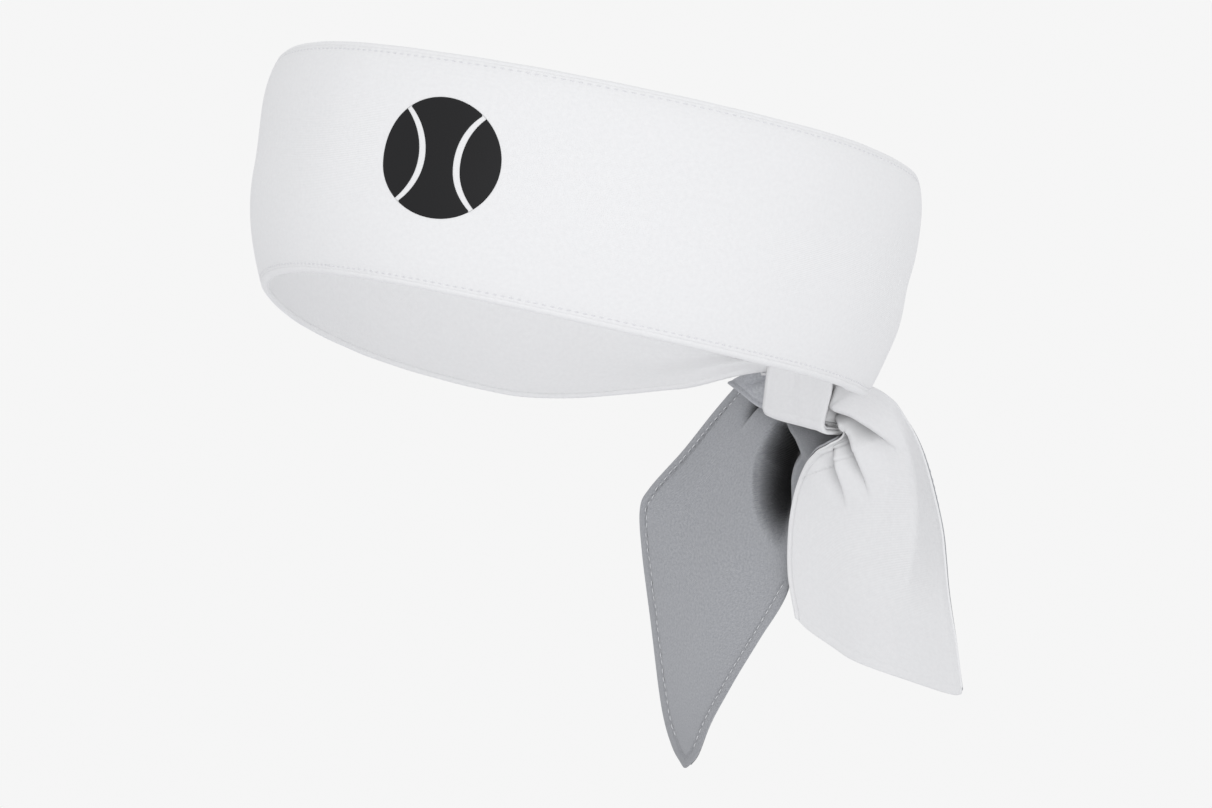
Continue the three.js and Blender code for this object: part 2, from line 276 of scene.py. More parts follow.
def make_mesh(name, points, faces, uv, material, body="headband"):
    """A smooth-shaded object from points in millimetres; body None leaves it unattached."""
    points = np.asarray(points, float).reshape(-1, 3)
    if signed_volume(points - points.mean(axis=0), faces) < 0:
        faces = [tuple(reversed(face)) for face in faces]
    mesh = bpy.data.meshes.new(name)
    mesh.from_pydata((points * MM).tolist(), [], faces)
    mesh.materials.append(material)
    mesh.polygons.foreach_set("use_smooth", [True] * len(mesh.polygons))
    layer = mesh.uv_layers.new(name="cloth")
    corner_vertices = np.zeros(len(mesh.loops), int)
    mesh.loops.foreach_get("vertex_index", corner_vertices)
    layer.data.foreach_set("uv", np.asarray(uv, float).reshape(-1, 2)[corner_vertices].ravel())
    mesh.update()
    thing = bpy.data.objects.new(name, mesh)
    bpy.context.scene.collection.objects.link(thing)
    if body:
        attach(thing, body)
    return thing


def ring_faces(stations, count, closed=False):
    """Quads between successive rings of count points; closed joins the last ring to the first."""
    faces = []
    for i in range(stations if closed else stations - 1):
        here, there = i * count, (i + 1) % stations * count
        for k in range(count):
            ahead = (k + 1) % count
            faces.append((here + k, here + ahead, there + ahead, there + k))
    return faces


def cloth_from_faces(outer, inner, edge_bulge=0.35):
    """Closed cloth from the grids of its two faces, with rounded long edges."""
    rows, cols = outer.shape[:2]
    high = (outer[:, -1] + inner[:, -1]) / 2 + edge_bulge * unit(outer[:, -1] - outer[:, -2])
    low = (outer[:, 0] + inner[:, 0]) / 2 + edge_bulge * unit(outer[:, 0] - outer[:, 1])
    rings = np.concatenate([outer, high[:, None], inner[:, ::-1], low[:, None]], axis=1)
    count = rings.shape[1]
    faces = ring_faces(rows, count)
    for start in (0, (rows - 1) * count):
        for k in range(cols - 1):
            faces.append((start + k, start + k + 1, start + 2 * cols - 1 - k, start + 2 * cols - k))
        faces.append((start + cols - 1, start + cols, start + cols + 1))
        faces.append((start + 2 * cols, start + 2 * cols + 1, start))
    first = (rows - 1) * count
    faces = [
        tuple(reversed(face)) if number >= (rows - 1) * count and min(face) < first else face
        for number, face in enumerate(faces)
    ]
    return rings, faces


def unit(vectors):
    return vectors / np.maximum(np.linalg.norm(vectors, axis=-1, keepdims=True), 1e-9)


def ring_uv(rows, cols, length, width):
    """Cloth coordinates for the rings of cloth_from_faces, in millimetres."""
    along = np.linspace(0, length, rows)
    across = np.concatenate([np.linspace(0, width, cols), [width], np.linspace(width, 0, cols), [0]])
    return np.stack(np.meshgrid(along, across, indexing="ij"), axis=-1)


def tube(rings):
    """Closed tube through rings of points, with flat ends."""
    stations, count = rings.shape[:2]
    faces = ring_faces(stations, count)
    faces.append(tuple(reversed(range(count))))
    faces.append(tuple((stations - 1) * count + k for k in range(count)))
    return rings, faces


def smooth_curve(points, count):
    """Evenly spaced points on a Catmull-Rom curve through the given ones."""
    points = np.array(points, float)
    ends = np.vstack([2 * points[0] - points[1], points, 2 * points[-1] - points[-2]])
    t = np.linspace(0, 1, 24, endpoint=False)[:, None]
    fine = [
        0.5 * (2 * b + (c - a) * t + (2 * a - 5 * b + 4 * c - d) * t**2 + (3 * b - a - 3 * c + d) * t**3)
        for a, b, c, d in zip(ends, ends[1:], ends[2:], ends[3:])
    ]
    return resample(np.vstack([*fine, points[-1:]]), count)


def resample(line, count):
    lengths = lengths_along(line)
    even = np.linspace(0, lengths[-1], count)
    return np.column_stack([np.interp(even, lengths, line[:, k]) for k in range(line.shape[1])])


def smoothstep(x, low, high):
    t = np.clip((x - low) / (high - low), 0, 1)
    return t * t * (3 - 2 * t)


def bell(away, width):
    """1 in the middle, falling off smoothly over the width."""
    return np.exp(-((away / width) ** 2))


def edge_spacing(count, crowding=0.5):
    """Shares from 0 to 1, closer together near both ends."""
    even = np.linspace(0, 1, count)
    return (1 - crowding) * even + crowding * (0.5 - 0.5 * np.cos(np.pi * even))


def lengths_along(line):
    """Length of a line of points up to each of them."""
    return np.r_[0, np.cumsum(np.linalg.norm(np.diff(line, axis=0), axis=1))]


def turned_round_y(points, degrees):
    return points @ np.array(Matrix.Rotation(math.radians(degrees), 3, "Y")).T


# ---- The band's surface --------------------------------------------------------------------

def neck_opening(angle):
    """0 at the knot to 1 where the neck has opened out, and the same for the last pinch."""
    from_knot = (np.pi - np.abs(angle)) * BACK_ARC_RADIUS
    pinch = smoothstep(from_knot, PINCH_START, PINCH_START + PINCH_LENGTH)
    return smoothstep(from_knot, 0, NECK_LENGTH), pinch


def band_height(angle):
    neck, pinch = neck_opening(angle)
    open_share = (NECK_SHARE + (1 - NECK_SHARE) * neck) * (PINCH_SHARE + (1 - PINCH_SHARE) * pinch)
    return BAND_HEIGHT * open_share


def rise_below_top(angle, distance):
    return 1 - 2 * distance / band_height(angle)


def rise_above_bottom(angle, distance):
    return 2 * distance / band_height(angle) - 1


def band_waves(angle, rise):
    """Soft unevenness of the stretched cloth and the gathers of the two necks."""
    along = angle * BACK_ARC_RADIUS
    waves = sum(
        height * np.sin(along / spacing + slant * rise + phase)
        for height, spacing, slant, phase in CLOTH_WAVES
    )
    neck, _ = neck_opening(angle)
    gather = (1 - neck) ** 1.6
    phase = np.where(angle > 0, LEFT_PLEAT_PHASE, RIGHT_PLEAT_PHASE)
    pleats = np.sin(np.pi * PLEATS * (rise + 1) + phase + 0.8 * np.sin(along / 9.0)) - 1
    return UNDULATION * waves * neck + PLEAT_DEPTH * gather * pleats


def seam_relief(angle, rise):
    """Dip along each row of stitching, with a small pucker at every stitch."""
    height = band_height(angle)
    inside = (1 - np.abs(rise)) * height / 2
    stitch = np.cos(2 * np.pi * angle * BACK_ARC_RADIUS / STITCH_PITCH)
    from_seam = inside - SEAM_INSET
    return PUCKER * stitch * bell(from_seam, PUCKER_WIDTH) - SEAM_DIP * bell(from_seam, SEAM_DIP_WIDTH)


BAND_TILT = np.array(
    Matrix.Rotation(math.radians(BAND_ROLL), 3, "Y") @ Matrix.Rotation(-math.radians(BAND_PITCH), 3, "X")
)


def band_point(angle, rise, above):
    """Points of the band: angle from the forehead toward the left ear, rise from -1 at the bottom
    edge to 1 at the top, and height above the smooth outer face."""
    cos, sin = np.cos(angle), np.sin(angle)
    depth = np.where(cos > 0, FRONT_DEPTH, BACK_DEPTH)
    power = 2 / np.where(cos > 0, FRONT_POWER, BACK_POWER)
    height = band_height(angle)
    neck, _ = neck_opening(angle)
    swell = np.where(rise > 0, TOP_SWELL * rise**2 - TOP_TUCK * rise**4, -BOTTOM_TUCK * rise**2)
    out = swell * height / BAND_HEIGHT + above + band_waves(angle, rise)
    wave = np.where(rise > 0, TOP_WAVE, BOTTOM_WAVE) * np.cos(2 * angle) * np.abs(rise)
    sway = SWAY_FRONT * np.cos(2 * angle) + SWAY_SIDE * np.sin(2 * angle)
    flat = np.stack(
        [
            HALF_WIDTH * np.sign(sin) * np.abs(sin) ** power + sin * out,
            -depth * np.sign(cos) * np.abs(cos) ** power - cos * out,
            rise * height / 2 + (wave + sway) * neck - NECK_DROP * (1 - neck),
        ],
        axis=-1,
    )
    return flat @ BAND_TILT.T


def band_layer(name, outer_above, inner_above, relief, node):
    """One layer of the band between the two rolled lips."""
    rows, cols = 721, 57
    angles = np.radians(np.linspace(RIGHT_END, LEFT_END, rows))[:, None]
    inset = LIP_WIDTH - LAYER_UNDER_LIP
    low, high = rise_above_bottom(angles, inset), rise_below_top(angles, inset)
    rise = low + (high - low) * edge_spacing(cols, 0.6)
    angle = np.broadcast_to(angles, rise.shape)
    marks = seam_relief(angle, rise) * relief
    outer = band_point(angle, rise, outer_above + marks)
    inner = band_point(angle, rise, inner_above + marks)
    points, faces = cloth_from_faces(outer, inner, edge_bulge=0.2)
    length = lengths_along(outer[:, cols // 2])[-1]
    uv = ring_uv(rows, cols, length, BAND_HEIGHT)
    layer = make_mesh(name, points, faces, uv, WHITE)
    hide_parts(node)
    return layer, length


def band_lip(name, place, node):
    """Rolled edge: the seam allowance turned in makes a soft round lip."""
    stations, count = 1100, 14
    angles = np.radians(np.linspace(RIGHT_END, LEFT_END, stations))[:, None]
    turn = np.linspace(0, 2 * np.pi, count, endpoint=False)[None, :]
    stitch = np.cos(2 * np.pi * angles * BACK_ARC_RADIUS / STITCH_PITCH)
    plump = 1 + 0.035 * stitch + 0.03 * np.sin(angles * 31)
    half = LIP_WIDTH / 2 + 0.05
    inside = half - half * np.cos(turn) * plump
    above = -(2 * LAYER + GAP) / 2 + LIP_THICKNESS / 2 * np.sin(turn) * plump
    angle = np.broadcast_to(angles, inside.shape)
    rings = band_point(angle, place(angle, inside), above)
    points, faces = tube(rings)
    along = angle * BACK_ARC_RADIUS
    uv = np.stack([along, np.broadcast_to(turn * LIP_WIDTH / 2, along.shape)], axis=-1)
    lip = make_mesh(name, points, faces, uv, WHITE)
    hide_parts(node)
    return lip


def stitches(name, centres, along, out, length, width, material, body="headband"):
    """A run of separate stitches, each a small rounded bar half sunk in the cloth."""
    sides, stations = 6, 5
    blunt, sink = 0.12, 0.12               # squared thickness left at the ends, and how deep they dip
    lengthwise = np.linspace(-1, 1, stations)
    thick = np.sqrt(np.clip(1 - np.abs(lengthwise) ** 3, blunt, 1))
    turn = np.linspace(0, 2 * np.pi, sides, endpoint=False)
    local = np.stack(
        [
            np.repeat(lengthwise * length / 2, sides),
            (thick[:, None] * np.cos(turn) * width / 2).ravel(),
            (thick[:, None] * np.sin(turn) * width / 2).ravel() - np.repeat(sink * lengthwise**2, sides),
        ],
        axis=-1,
    )
    side = np.cross(out, along)
    axes = np.stack([along, side, out], axis=1)
    points = centres[:, None, :] + np.einsum("pk,nkc->npc", local, axes)
    _, one = tube(np.zeros((stations, sides, 3)))
    step = sides * stations
    faces = [tuple(i * step + v for v in face) for i in range(len(centres)) for face in one]
    uv = np.broadcast_to(local[None, :, :2], (*points.shape[:2], 2))
    return make_mesh(name, points, faces, uv, material, body)


def band_stitching(name, place, node):
    span = math.radians(LEFT_END - RIGHT_END) * BACK_ARC_RADIUS
    count = int(span / STITCH_PITCH)
    angle = math.radians(RIGHT_END) + (np.arange(count) + 0.5) * STITCH_PITCH / BACK_ARC_RADIUS
    turn_step, inset_step = 0.004, 0.3     # to either side, for the directions on the surface

    def seam(at, inset):
        rise = place(at, inset)
        return band_point(at, rise, seam_relief(at, rise))

    centre = seam(angle, SEAM_INSET)
    along = unit(seam(angle + turn_step, SEAM_INSET) - seam(angle - turn_step, SEAM_INSET))
    across = seam(angle, SEAM_INSET + inset_step) - seam(angle, SEAM_INSET - inset_step)
    out = unit(np.cross(along, across))
    outward = centre * np.array([1, 1, 0])
    out *= np.sign(np.sum(out * outward, axis=-1, keepdims=True))
    row = stitches(
        name, centre + STITCH_LIFT * out, along, out, STITCH_LENGTH, STITCH_WIDTH,
        WHITE_THREAD,
    )
    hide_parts(node)
    return row


def build_band():
    face, length = band_layer("band_outer_cloth", 0.0, -LAYER, relief=1.0, node="band_face")
    lining_top, lining_back = -LAYER - GAP, -2 * LAYER - GAP
    lining, _ = band_layer("band_lining_cloth", lining_top, lining_back, relief=-0.6, node="band_lining")
    top_lip = band_lip("band_top_lip", rise_below_top, "top_edge_roll")
    bottom_lip = band_lip("band_bottom_lip", rise_above_bottom, "bottom_edge_roll")
    top_row = band_stitching("band_top_stitches", rise_below_top, "top_edge_stitching")
    bottom_row = band_stitching("band_bottom_stitches", rise_above_bottom, "bottom_edge_stitching")


# ---- Print: a plain round ball icon --------------------------------------------------------

def mark_point(x, z, above):
    """Points of the print, x and z millimetres from its centre on the band's face."""
    angle = math.radians(MARK_ANGLE) + x / MARK_ARC_RADIUS
    rise = MARK_RISE + 2 * z / BAND_HEIGHT
    return band_point(angle, rise, above)


def mark_region(name, left, right):
    """The part of the disc between two curves, each giving x for a height z."""
    rows, cols = 61, 25
    z = MARK_RADIUS * np.sin(np.linspace(-1, 1, rows) * np.pi / 2)[:, None]
    share = np.linspace(0, 1, cols)[None, :]
    x = left(z) * (1 - share) + right(z) * share
    z = np.broadcast_to(z, x.shape)
    top = mark_point(x, z, MARK_HEIGHT)
    below = mark_point(x, z, -MARK_SINK)
    points, faces = cloth_from_faces(top, below, edge_bulge=0.01)
    uv = np.stack([np.concatenate([v, v[:, -1:], v[:, ::-1], v[:, :1]], axis=1) for v in (x, z)], axis=-1)
    return make_mesh(name, points, faces, uv, INK)


def build_mark():
    """A ball: a disc with its two curved seams left bare."""
    seam_reach, seam_width, seam_centre = 15.5, 1.7, 20.0

    def rim(z):
        return np.sqrt(np.maximum(MARK_RADIUS**2 - z**2, 0.0004))

    def seam(z):
        return seam_centre - np.sqrt(np.maximum(seam_reach**2 - z**2, 0))

    def inner_edge(z):
        return np.minimum(seam(z) - seam_width / 2, rim(z))

    def outer_edge(z):
        return np.minimum(seam(z) + seam_width / 2, rim(z) - 0.001)

    middle = mark_region("print_ball_middle", lambda z: -inner_edge(z), inner_edge)
    mark_region("print_ball_left", lambda z: -rim(z), lambda z: -outer_edge(z))
    mark_region("print_ball_right", outer_edge, rim)
    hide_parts("printed_mark")


# ---- Knot ----------------------------------------------------------------------------------

def rounded_loop(depth, height, radius, count):
    """Closed loop in Y and Z, and its outward normals, starting at the head side."""
    corners = []
    centres = [(-1, -1, 180), (1, -1, 270), (1, 1, 0), (-1, 1, 90)]
    for y_side, z_side, start in centres:
        turn = np.radians(np.linspace(start, start + 90, 12))
        y = y_side * (depth / 2 - radius) + radius * np.cos(turn)
        z = z_side * (height / 2 - radius) + radius * np.sin(turn)
        corners.append(np.column_stack([y, z]))
    line = np.vstack([*corners, corners[0][:1]])
    loop = resample(line, count + 1)
    tangent = unit(np.roll(loop[:-1], -1, axis=0) - np.roll(loop[:-1], 1, axis=0))
    normal = np.column_stack([tangent[:, 1], -tangent[:, 0]])
    return loop[:-1], normal


def folded_section(width, layers, layer, steps=22, bend=7):
    """Middle line of a strip folded over itself, outermost layer first: across and depth."""
    pitch = layer * FOLD_PITCH
    reach = width / 2 - pitch / 2
    line = []
    for i in range(layers):
        side = 1 if i % 2 == 0 else -1
        run = np.linspace(-side * reach, side * reach, steps)
        line += [(x, -i * pitch) for x in run]
        if i < layers - 1:
            for turn in np.linspace(0, np.pi, bend + 2)[1:-1]:
                depth = (i + 0.5 - 0.5 * np.cos(turn)) * pitch
                line.append((side * (reach + pitch / 2 * np.sin(turn)), -depth))
    return np.array(line)


def thicken(line, thickness):
    """Closed outline round a line in the plane."""
    tangent = unit(np.gradient(line, axis=0))
    normal = np.column_stack([-tangent[:, 1], tangent[:, 0]])
    return np.vstack([line + normal * thickness / 2, (line - normal * thickness / 2)[::-1]])


def build_turn(name, turn, middle, tilt, shape, wrap_node):
    """A strap folded in three, turned once round the bundle."""
    section = thicken(folded_section(turn["width"], STRAP_LAYERS, STRAP_LAYER), STRAP_LAYER)
    loop, normal = rounded_loop(turn["depth"], turn["height"], turn["radius"], 120)
    section_depth = section[:, 1] - STRAP_LAYER / 2
    x = np.broadcast_to(section[None, :, 0], (len(loop), len(section)))
    y = loop[:, :1] + normal[:, :1] * section_depth[None, :]
    z = loop[:, 1:] + normal[:, 1:] * section_depth[None, :]
    points = turned_round_y(shape(np.stack([x, y, z], axis=-1)), tilt) + middle
    faces = ring_faces(len(loop), len(section), closed=True)
    round_length = lengths_along(np.vstack([loop, loop[:1]]))[-1]
    along = np.linspace(0, round_length, len(loop))
    uv = np.stack(np.meshgrid(along, lengths_along(section), indexing="ij"), axis=-1)
    strap = make_mesh(name, points, faces, uv, WHITE)
    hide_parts(wrap_node)


def inner_turn_shape(points):
    """The inner strap hangs lower toward the left tail, its sides lean, its face has soft creases,
    and its back is pulled into a barrel with two gathers."""
    x, y, z = points[..., 0], points[..., 1], points[..., 2]
    front, back, lower = smoothstep(-y, 2, 6), smoothstep(y, -1, 5), smoothstep(-z, 2, 12)
    aside = x - 3.1
    slope = 0.006 * np.minimum(aside, 0) ** 2 - 0.2 * aside
    right_lean = smoothstep(-x, 0, 9) * (0.155 * z - 0.2)
    left_lean = smoothstep(x, 4, 11) * (0.5 - 2.4 * lower)
    creases = bell(x + 0.6 + 0.05 * z, 0.8) + 0.4 * bell(x - 5.5, 1.6) + 0.35 * bell(x + 9.6, 0.35)
    relaxed = 0.35 * np.sin(z / 4.0 + x / 7.0)
    barrel = 1 - 0.16 * back * np.abs(x / 11) ** 3
    gathers = back * (bell(x - 3 - 0.1 * z, 1.1) + bell(x + 5 + 0.15 * z, 1.4))
    depth = y * barrel + front * (0.42 * creases + relaxed) - 0.7 * gathers
    return np.stack([x + right_lean + left_lean, depth, z * barrel + lower * slope], axis=-1)


def outer_turn_shape(points):
    """The outer strap is pulled into a barrel, tighter at its two ends, with two gathers."""
    x, y, z = points[..., 0], points[..., 1], points[..., 2]
    back = smoothstep(y, 0, 4)
    gathers = bell(x - 2.0 + 0.2 * z, 0.9) + 0.7 * bell(x + 3.6 - 0.1 * z, 1.2)
    barrel = 1 - 0.24 * np.abs(x / 7.5) ** 3
    waist = 1 - 0.16 * (z / 10) ** 2
    dome = 0.8 * np.clip(1 - (z / 10) ** 2, 0, 1)
    return np.stack([x * waist, y * barrel + back * (dome - 0.75 * gathers), z * barrel], axis=-1)


def build_bundle(name, turn, middle, tilt, shape, node, overhang, strand=0.0):
    """Gathered cloth that passes through a strap: a strip pleated to fill the strap's hole, with
    a thin strand of it reaching out toward the right neck."""
    wall = STRAP_LAYERS * STRAP_LAYER * FOLD_PITCH + 0.35
    depth, height = turn["depth"] - 2 * wall, turn["height"] - 2 * wall
    folds, layer, spacing, margin = 7, 0.75, 0.8, 0.6
    section = thicken(folded_section(depth, folds, spacing, steps=8, bend=5), layer)
    spread = (height - 2 * margin) / (folds - 1) / (spacing * FOLD_PITCH)
    unequal = 0.86 + 0.14 * np.sin(2.3 * section[:, 1] + 0.9)
    y = section[:, 0] * unequal
    z = section[:, 1] * spread + height / 2 - margin
    lengths = lengths_along(np.column_stack([y, z]))
    stations = 48
    reach = turn["width"] / 2 + overhang
    x = np.linspace(-reach - strand, reach, stations)[:, None]
    thin = smoothstep(-reach - x, 0, 2.0) if strand else np.zeros_like(x)
    swell = (1 - 0.4 * smoothstep(np.abs(x) / reach, 0.8, 1.0)) * (1 - 0.7 * thin)
    corner = 1 - 0.18 * np.abs(z / (height / 2)) ** 3
    sideways = 0.2 * np.sin(x / 2.5 + z)
    upward = 0.9 * (1 - thin) * np.sin(0.9 * y + z / 4 + x / 3)
    points = np.stack(
        [
            np.broadcast_to(x, (stations, len(section))),
            y * corner * swell + sideways - STRAND_FORWARD * thin,
            z * swell + upward + STRAND_RISE * thin,
        ],
        axis=-1,
    )
    points, faces = tube(turned_round_y(shape(points), tilt) + middle)
    uv = np.stack(np.meshgrid(np.linspace(0, 2 * reach, stations), lengths, indexing="ij"), axis=-1)
    bundle = make_mesh(name, points, faces, uv, WHITE)
    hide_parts(node)


def build_knot():
    inner = (INNER_TURN, KNOT, 0, inner_turn_shape)
    build_turn("inner_knot_strap", *inner, "inner_knot_wrap")
    build_bundle("inner_knot_bundle", *inner, "inner_knot_core", overhang=-0.6, strand=6.5)
    stacked = KNOT + np.array([OUTER_SHIFT, (INNER_TURN["depth"] + OUTER_TURN["depth"]) / 2 + GAP, 0])
    outer = (OUTER_TURN, stacked, OUTER_TILT, outer_turn_shape)
    build_turn("outer_knot_strap", *outer, "outer_knot_wrap")
    build_bundle("outer_knot_bundle", *outer, "outer_knot_core", overhang=1.6)


# ---- Sheets with edges, folds and hems -----------------------------------------------------

def patch(left, right, top, bottom, rows, cols):
    """A grid that fills four boundary curves: rows run from top to bottom."""
    fine = 400
    s, t = edge_spacing(cols), edge_spacing(rows)

    def along(curve, shares):
        line = smooth_curve(curve, fine)
        return np.column_stack([np.interp(shares, np.linspace(0, 1, fine), line[:, k]) for k in range(3)])

    west, east = along(left, t)[:, None], along(right, t)[:, None]
    north, south = along(top, s)[None], along(bottom, s)[None]
    s, t = s[None, :, None], t[:, None, None]
    corners = (
        (1 - s) * (1 - t) * north[:, :1]
        + s * (1 - t) * north[:, -1:]
        + (1 - s) * t * south[:, :1]
        + s * t * south[:, -1:]
    )
    return (1 - s) * west + s * east + (1 - t) * north + t * south - corners


def distance_to_line(points, line):
    """Distance in X and Z to a line, its sign by side, and the share of the line passed."""
    flat = points[..., [0, 2]].reshape(-1, 1, 2)
    starts, ends = line[None, :-1], line[None, 1:]
    steps = ends - starts
    share = np.clip(np.sum((flat - starts) * steps, axis=-1) / np.sum(steps**2, axis=-1), 0, 1)
    gaps = flat - (starts + share[..., None] * steps)
    lengths = np.linalg.norm(gaps, axis=-1)
    nearest = np.argmin(lengths, axis=1)
    pick = np.arange(len(nearest))
    best, step = gaps[pick, nearest], steps[0, nearest]
    side = np.sign(step[:, 0] * best[:, 1] - step[:, 1] * best[:, 0])
    passed = (nearest + share[pick, nearest]) / (len(line) - 1)
    shape = points.shape[:-1]
    return (lengths[pick, nearest] * side).reshape(shape), passed.reshape(shape)


def crease(points, route, rise, fall, soft, fade_in=0.06):
    """Depth (+Y) of one fold: a ridge toward the head along the route, steep on the side to the
    right of its direction, where a valley follows."""
    signed, passed = distance_to_line(points, smooth_curve(route, 28))
    strength = smoothstep(passed, 0, fade_in) * (1 - smoothstep(passed, 0.35, 1.0))
    steep = -signed
    beyond = steep - 1.7 * FOLD_SHARPNESS
    ridge = bell(steep, np.where(steep > 0, FOLD_SHARPNESS, soft))
    valley = bell(beyond, np.where(beyond > 0, 0.8 * soft, 0.9 * FOLD_SHARPNESS))
    return strength * (fall * valley - rise * ridge)


def hollow(points, edge, rim, depth):
    """Depth (+Y) of a pocket: it falls away to the left of its edge's direction, grows shallow
    further in, and closes up at its rim."""
    inside, passed = distance_to_line(points, smooth_curve(edge, 90))
    to_rim, _ = distance_to_line(points, smooth_curve(rim, 20))
    strength = smoothstep(passed, 0, 0.12) * (1 - smoothstep(passed, 0.5, 1.0))
    floor = smoothstep(inside, -2.5, 2.2) * (1 - 0.85 * smoothstep(inside, 2.5, 12))
    return depth * strength * floor * (1 - smoothstep(to_rim, -3.0, 0.4))


def shallow_dip(points, route, depth, edges):
    """Depth (+Y) of a wide dip, deepest along the route and level again at the sheet's edges."""
    away, passed = distance_to_line(points, smooth_curve(route, 60))
    away = np.sqrt(away**2 + DIP_ROUNDING**2) - DIP_ROUNDING
    to_edge = edge_distance(points, edges)
    strength = smoothstep(passed, 0, 0.4) * (1 - smoothstep(passed, 0.6, 1.0))
    return depth * strength * to_edge / (away + to_edge + 1e-3)


def swelling(points, height, centre, size):
    """Depth (+Y) of a broad soft swelling round a centre in X and Z."""
    return height * bell(points[..., 0] - centre[0], size[0]) * bell(points[..., 2] - centre[1], size[1])


def hem_relief(distance, inset, rim, dip):
    """Relief near a sewn edge: a rounded rim, then the dip of the seam."""
    return rim * bell(distance - 0.4 * inset, 0.3 * inset) - dip * bell(distance - inset, 0.2 * inset)


def edge_distance(points, edges):
    """Distance in X and Z to the nearest of some edges."""
    lines = [smooth_curve(edge, 120)[:, [0, 2]] for edge in edges]
    return np.min([np.abs(distance_to_line(points, line)[0]) for line in lines], axis=0)


def cloth_layer(name, grid, normal, front, back, material, body=None):
    """One layer of a sheet: its faces stand at two distances behind the middle surface."""
    outer, inner = grid + normal * front, grid + normal * back
    points, faces = cloth_from_faces(outer, inner, edge_bulge=0.18)
    rows, cols = grid.shape[:2]
    length, width = lengths_along(grid[:, cols // 2])[-1], lengths_along(grid[rows // 2])[-1]
    return make_mesh(name, points, faces, ring_uv(rows, cols, length, width), material, body)


def back_normals(grid):
    """Normals of a hanging sheet that point away from the head, in +Y."""
    normal = unit(np.cross(np.gradient(grid, axis=0), np.gradient(grid, axis=1)))
    return normal * np.sign(np.sum(normal[..., 1]))


def surface_stitches(name, grid, normal, edges, pitch, side, material):
    """Stitches along lines inside the edges, on the side of the sheet that is given."""
    centres, alongs, outs = [], [], []
    flat_grid, flat_normal = grid.reshape(-1, 3), normal.reshape(-1, 3)
    for edge in edges:
        line = smooth_curve(edge, 400)
        count = int(lengths_along(line)[-1] / pitch)
        for centre in resample(line, count + 1)[:-1]:
            nearest = np.argmin(np.sum((flat_grid - centre) ** 2, axis=1))
            centres.append(flat_grid[nearest])
            outs.append(flat_normal[nearest] * side)
        placed = np.array(centres[-count:])
        alongs.append(unit(np.gradient(placed, axis=0)))
    centres, outs, along = np.array(centres), np.array(outs), np.vstack(alongs)
    outs = unit(outs - along * np.sum(outs * along, axis=-1, keepdims=True))
    centres = centres + outs * (TAIL_LAYER + TAIL_GAP / 2 + STITCH_LIFT)
    length = pitch * HEM_STITCH_SHARE
    return stitches(name, centres, along, outs, length, HEM_STITCH_WIDTH, material, None)


# ---- Tails ---------------------------------------------------------------------------------

RIGHT_OUTER_EDGE = [
    (-28, 98, -31), (-41.7, 98, -42.1), (-53, 98, -52.1), (-64.6, 98, -62.4), (-68, 98, -68.2),
    (-67.2, 98, -80), (-63.7, 98, -100), (-59.6, 98, -124), (-55.7, 98, -135.2), (-51.6, 98, -140.9),
]
RIGHT_INNER_EDGE = [
    (9, 98.6, -43.2), (4.5, 98.4, -50), (-3.2, 98.2, -57.6), (-9, 98, -65), (-12, 98, -76),
    (-12.3, 98, -90.6), (-22.6, 98, -104.9), (-33, 98, -118.4), (-41, 98, -128.9), (-46, 98, -137.6),
    (-49.6, 98, -141),
]
RIGHT_HEM_START = 5                        # the inner edge is hemmed from this point on
RIGHT_TOP = [(-28, 98, -31), (-18, 98, -34), (-9, 98.6, -41.5), (9, 98.6, -43.2)]
RIGHT_TIP = [(-51.6, 98, -140.9), (-50.6, 98, -141.5), (-49.6, 98, -141)]
HOLLOW_EDGE = [(-13, -42), (-17, -46), (-21.4, -52), (-23.4, -60), (-22.2, -68.5), (-18, -76), (-12, -83)]
HOLLOW_RIM = [(-13.4, -41.5), (-12.3, -45.7), (-10, -48.5), (-7.5, -51.9), (-3, -56), (3, -60)]
HOLLOW_DEPTH = 12.0
RIGHT_FOLDS = [
    {
        "route": [(-16.5, -37.5), (-21.6, -40.5), (-26, -43.8), (-31, -48)],
        "rise": 1.3, "fall": 1.8, "soft": 3.0,
    },
]
RIGHT_MIDDLE = (-38, 98, -90)

LEFT_INNER_EDGE = [
    (7, 86.6, -41.5), (10.6, 85.9, -43.8), (13.4, 84.9, -45.9), (14.7, 84.8, -47.8), (13.6, 85.2, -49.6),
    (10.4, 86.2, -51.2), (6.6, 87.4, -52.6), (1.1, 90, -56), (-4.6, 93, -61.4), (-7.5, 94, -67.5),
    (-8.8, 94, -75), (-9, 94, -85.4), (-7.2, 94, -98.4),
]
LEFT_OUTER_EDGE = [
    (7, 86, -29), (13, 86.6, -31), (17.5, 89, -33.4), (24.3, 91, -35.5), (29.7, 91.5, -38.4),
    (33.9, 91.5, -42.3), (41.1, 91, -53.1), (47.9, 90, -71.1), (50.2, 89.5, -83), (51.3, 90, -98.4),
    (52.4, 92, -116.4),
]
LEFT_TOP = [(7, 86.6, -41.5), (6.8, 86.4, -35), (7, 86, -29)]
LEFT_BOTTOM = [
    (-7.2, 94, -98.4), (-2.6, 94.5, -102.1), (5.6, 95, -106.4), (14.1, 95, -110.2), (31.4, 94.5, -114.8),
    (49.6, 92.6, -118.5), (52.4, 92, -116.4),
]
